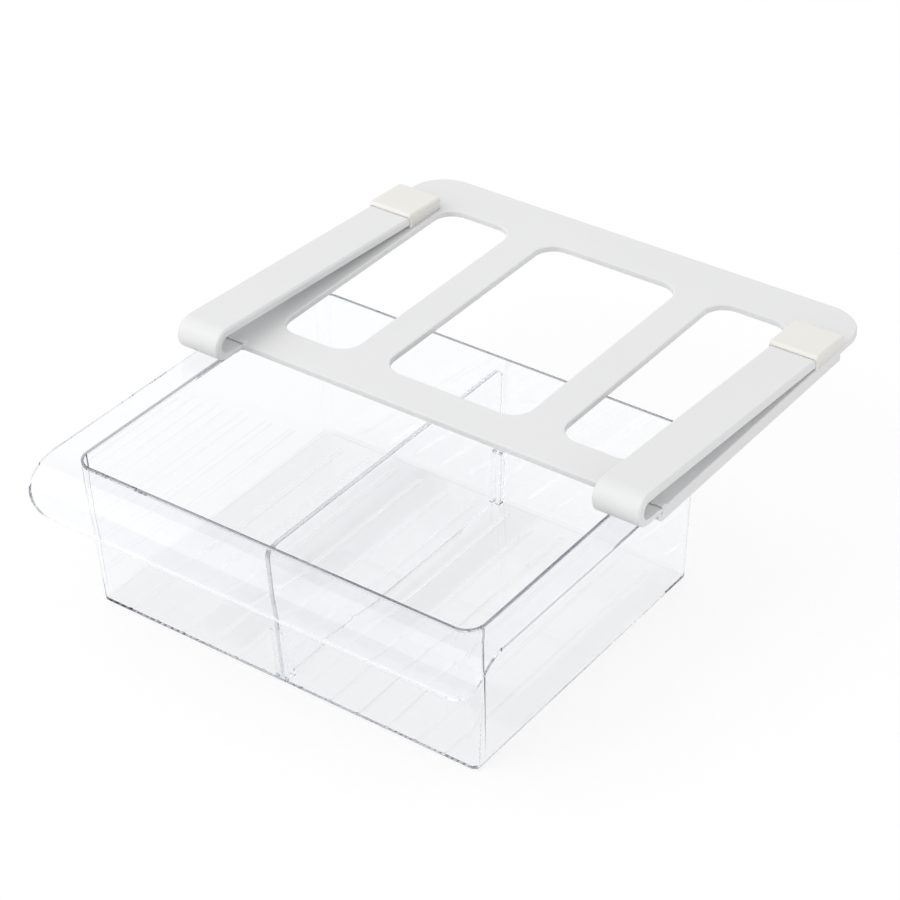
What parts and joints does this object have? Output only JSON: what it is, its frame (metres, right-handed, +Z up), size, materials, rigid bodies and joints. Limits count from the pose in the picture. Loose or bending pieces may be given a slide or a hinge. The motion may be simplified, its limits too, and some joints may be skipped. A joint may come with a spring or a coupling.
{
  "type": "under-shelf drawer organizer",
  "caption": "Clear pull-out drawer with a divider and a rolled front pull, sliding in a white windowed frame that clips under a shelf with sprung arms.",
  "frame": {"origin": "centre of the overall box on the drawer's underside, with the drawer drawn out as pictured", "axes": "+Z up, +Y from the pull towards the back of the shelf, +X to the right seen from the pull"},
  "size_m": [0.238, 0.292, 0.0898],
  "materials": {
    "white_plastic": "satin",
    "cream_rubber": "matte",
    "clear_plastic": "clear polished"
  },
  "bodies": {
    "frame": {"frame": "white_plastic"},
    "left_clip": {"clip_arm_left": "white_plastic", "grip_sleeve_left": "cream_rubber"},
    "right_clip": {"clip_arm_right": "white_plastic", "grip_sleeve_right": "cream_rubber"},
    "drawer": {"drawer": "clear_plastic", "divider": "clear_plastic"}
  },
  "joints": [
    {"name": "drawer_slide", "type": "slide", "parent": "frame", "child": "drawer", "axis": [0, -1, 0], "range_m": [-0.1045, 0.035]},
    {"name": "left_clip_flex", "type": "hinge", "parent": "frame", "child": "left_clip", "pos_m": [-0.1069, -0.0236, 0.0761], "axis": [1, 0, 0], "range_deg": [0, 5], "stiffness_Nm_per_rad": 4.5, "springref_deg": -2.01},
    {"name": "right_clip_flex", "type": "hinge", "parent": "frame", "child": "right_clip", "pos_m": [0.1069, -0.0236, 0.0761], "axis": [1, 0, 0], "range_deg": [0, 5], "stiffness_Nm_per_rad": 4.5, "springref_deg": -2.01}
  ]
}
